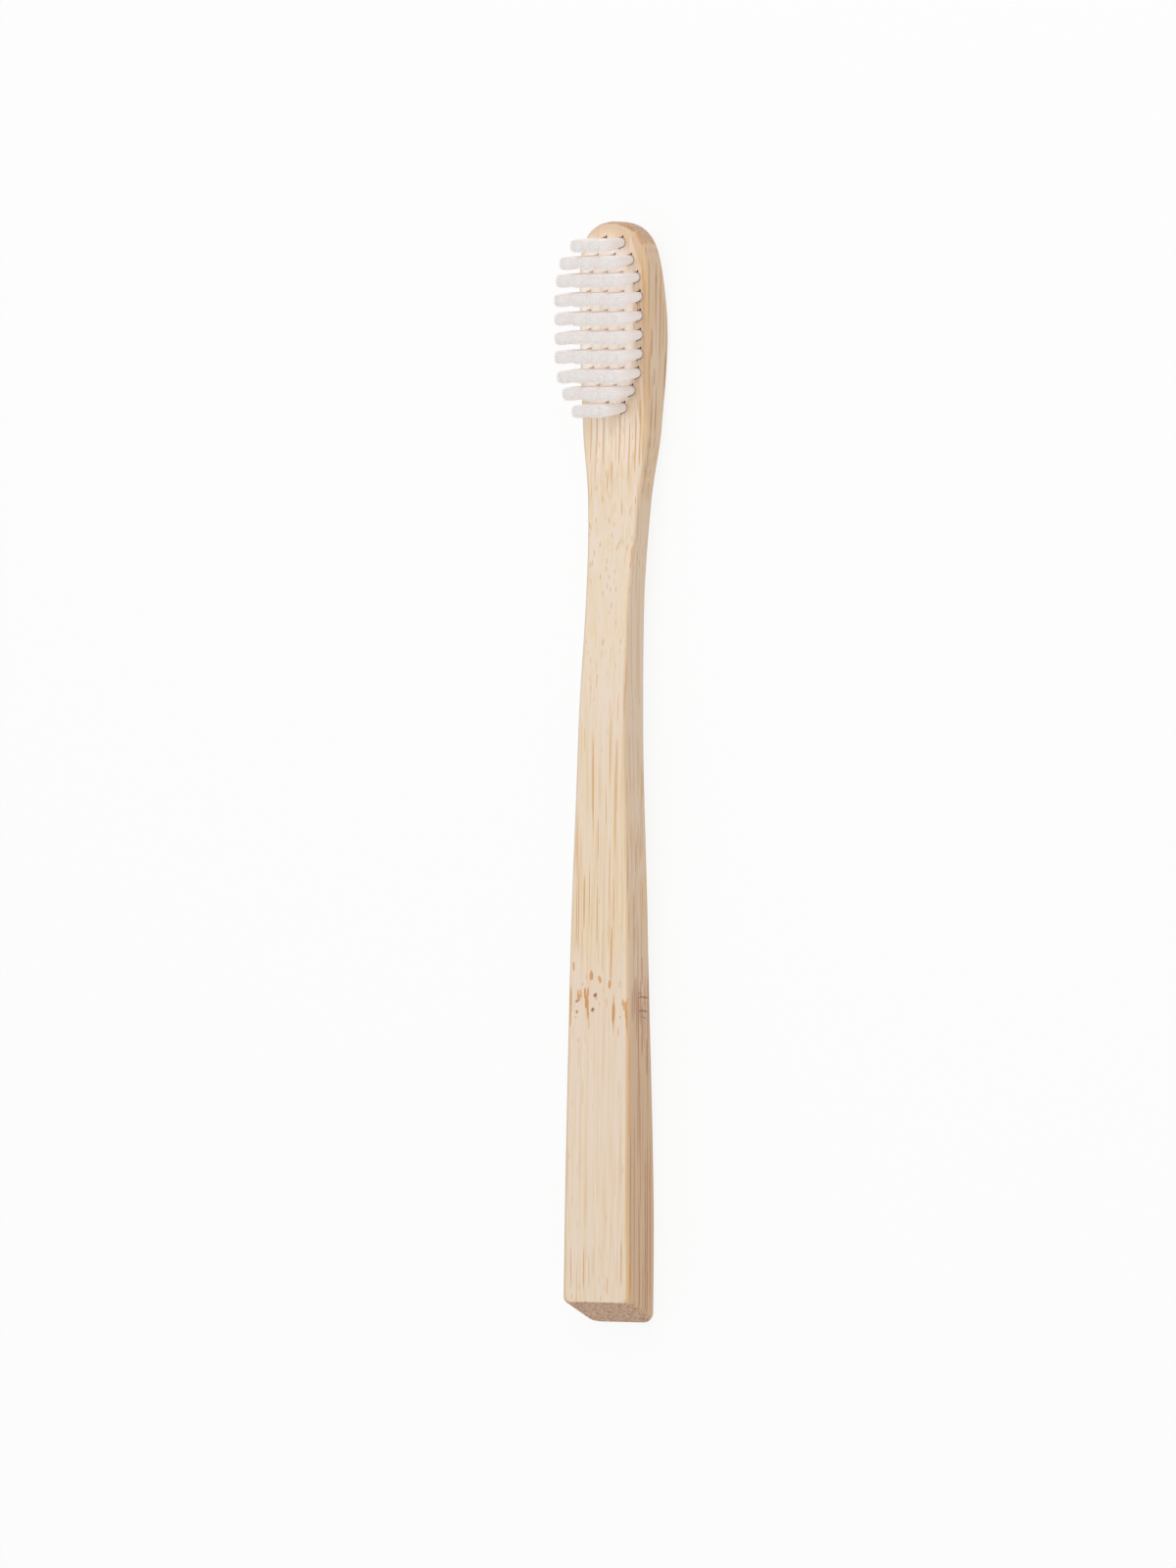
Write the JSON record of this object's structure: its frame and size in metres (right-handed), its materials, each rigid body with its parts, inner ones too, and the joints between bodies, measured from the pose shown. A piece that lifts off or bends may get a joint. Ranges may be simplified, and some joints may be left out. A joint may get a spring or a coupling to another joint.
{
  "type": "manual toothbrush",
  "caption": "Straight wooden toothbrush: a flat tapering handle with a slim neck and an oval head that carries rows of separate white filament tufts.",
  "frame": {"origin": "under the middle of the brush, on the surface that it lies on", "axes": "+Y runs along the brush to the head, +Z is where the bristles point, +X is across"},
  "size_m": [0.014, 0.19, 0.0182],
  "materials": {
    "bamboo": "sanded, bare",
    "filament": "translucent white filament",
    "anchor": "plain strip"
  },
  "bodies": {
    "root": {"handle": "bamboo", "tuft_r01_c1": "filament", "tuft_r01_c2": "filament", "tuft_r02_c1": "filament", "tuft_r02_c2": "filament", "tuft_r02_c3": "filament", "tuft_r03_c1": "filament", "tuft_r03_c2": "filament", "tuft_r03_c3": "filament", "tuft_r03_c4": "filament", "tuft_r04_c1": "filament", "tuft_r04_c2": "filament", "tuft_r04_c3": "filament", "tuft_r04_c4": "filament", "tuft_r05_c1": "filament", "tuft_r05_c2": "filament", "tuft_r05_c3": "filament", "tuft_r05_c4": "filament", "tuft_r06_c1": "filament", "tuft_r06_c2": "filament", "tuft_r06_c3": "filament", "tuft_r06_c4": "filament", "tuft_r07_c1": "filament", "tuft_r07_c2": "filament", "tuft_r07_c3": "filament", "tuft_r07_c4": "filament", "tuft_r08_c1": "filament", "tuft_r08_c2": "filament", "tuft_r08_c3": "filament", "tuft_r08_c4": "filament", "tuft_r09_c1": "filament", "tuft_r09_c2": "filament", "tuft_r09_c3": "filament", "tuft_r10_c1": "filament", "tuft_r10_c2": "filament", "anchors_row_01": "anchor", "anchors_row_02": "anchor", "anchors_row_03": "anchor", "anchors_row_04": "anchor", "anchors_row_05": "anchor", "anchors_row_06": "anchor", "anchors_row_07": "anchor", "anchors_row_08": "anchor", "anchors_row_09": "anchor", "anchors_row_10": "anchor"}
  },
  "joints": []
}
